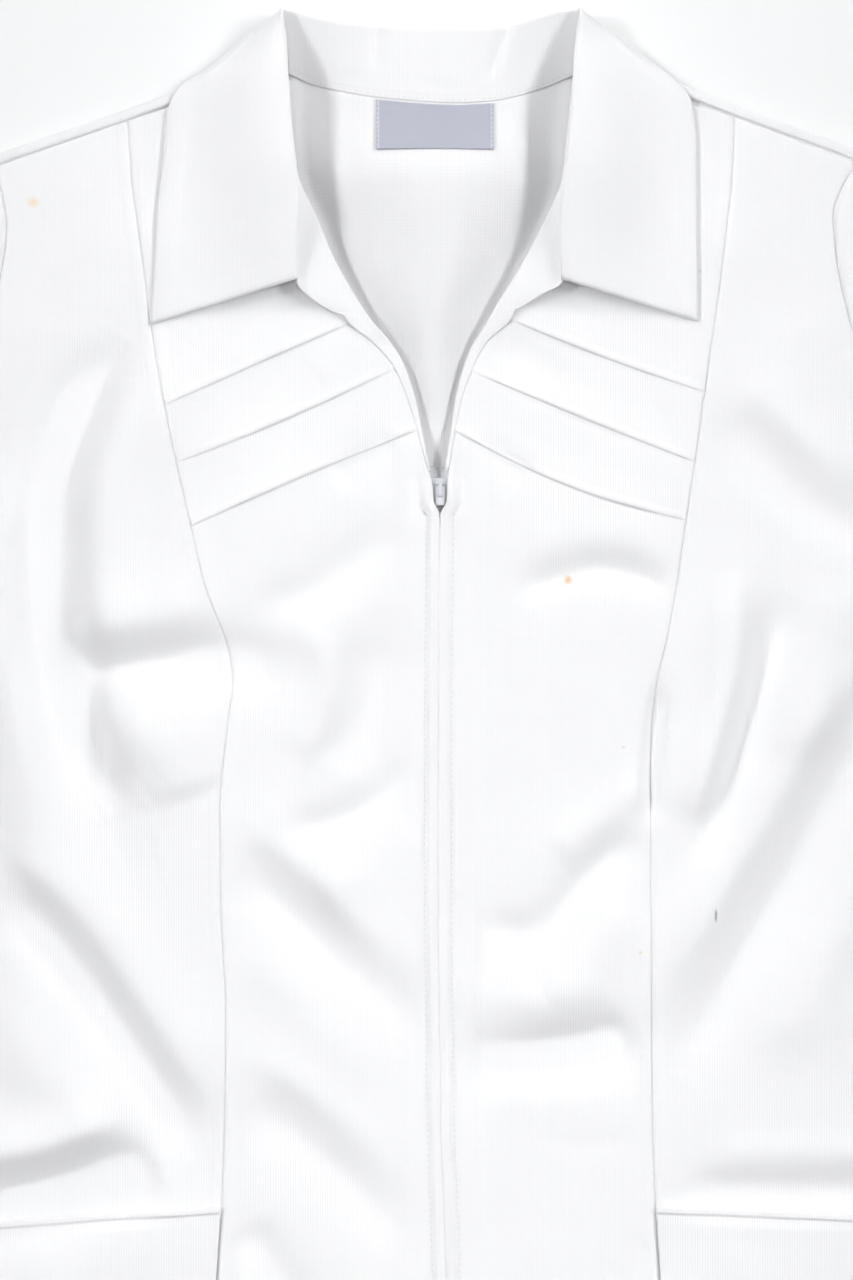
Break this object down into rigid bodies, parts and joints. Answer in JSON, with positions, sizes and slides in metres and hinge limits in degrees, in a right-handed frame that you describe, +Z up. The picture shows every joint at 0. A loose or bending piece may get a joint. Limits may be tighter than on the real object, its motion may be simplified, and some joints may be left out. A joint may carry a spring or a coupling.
{
  "type": "uniform top",
  "caption": "Short-sleeved zip-front uniform tunic with a wing collar, pressed chest tucks and hip pockets, laid flat on its back.",
  "frame": {"origin": "on the table under the middle of the garment's box", "axes": "+Y from the hem to the neck, +X to the wearer's left, which is the right of the picture, +Z up from the table out of the front"},
  "size_m": [0.736, 0.763, 0.0197],
  "materials": {
    "white_knit": "white polyester double knit with fine upright ribs, matt",
    "zip_tape": "white woven tape",
    "zip_enamel": "white enamelled die casting",
    "label_satin": "pale lilac grey woven satin, plain"
  },
  "bodies": {
    "garment": {"back": "white_knit", "centre_front_left": "white_knit", "centre_front_right": "white_knit", "side_front_left": "white_knit", "side_front_right": "white_knit", "pocket_left": "white_knit", "pocket_right": "white_knit", "sleeve_left": "white_knit", "sleeve_right": "white_knit", "collar_band": "white_knit", "collar_fall": "white_knit", "collar_leaf_left": "white_knit", "collar_leaf_right": "white_knit", "neck_facing_left": "white_knit", "neck_facing_right": "white_knit", "zip_tape_left": "zip_tape", "zip_tape_right": "zip_tape", "zip_slider": "zip_enamel", "neck_label": "label_satin"},
    "pull_tab": {"pull_tab": "zip_enamel"}
  },
  "joints": [
    {"name": "pull_tab_swing", "type": "hinge", "parent": "garment", "child": "pull_tab", "pos_m": [0.0015, 0.1556, 0.0056], "axis": [-1, 0, 0], "range_deg": [0, 165]}
  ]
}
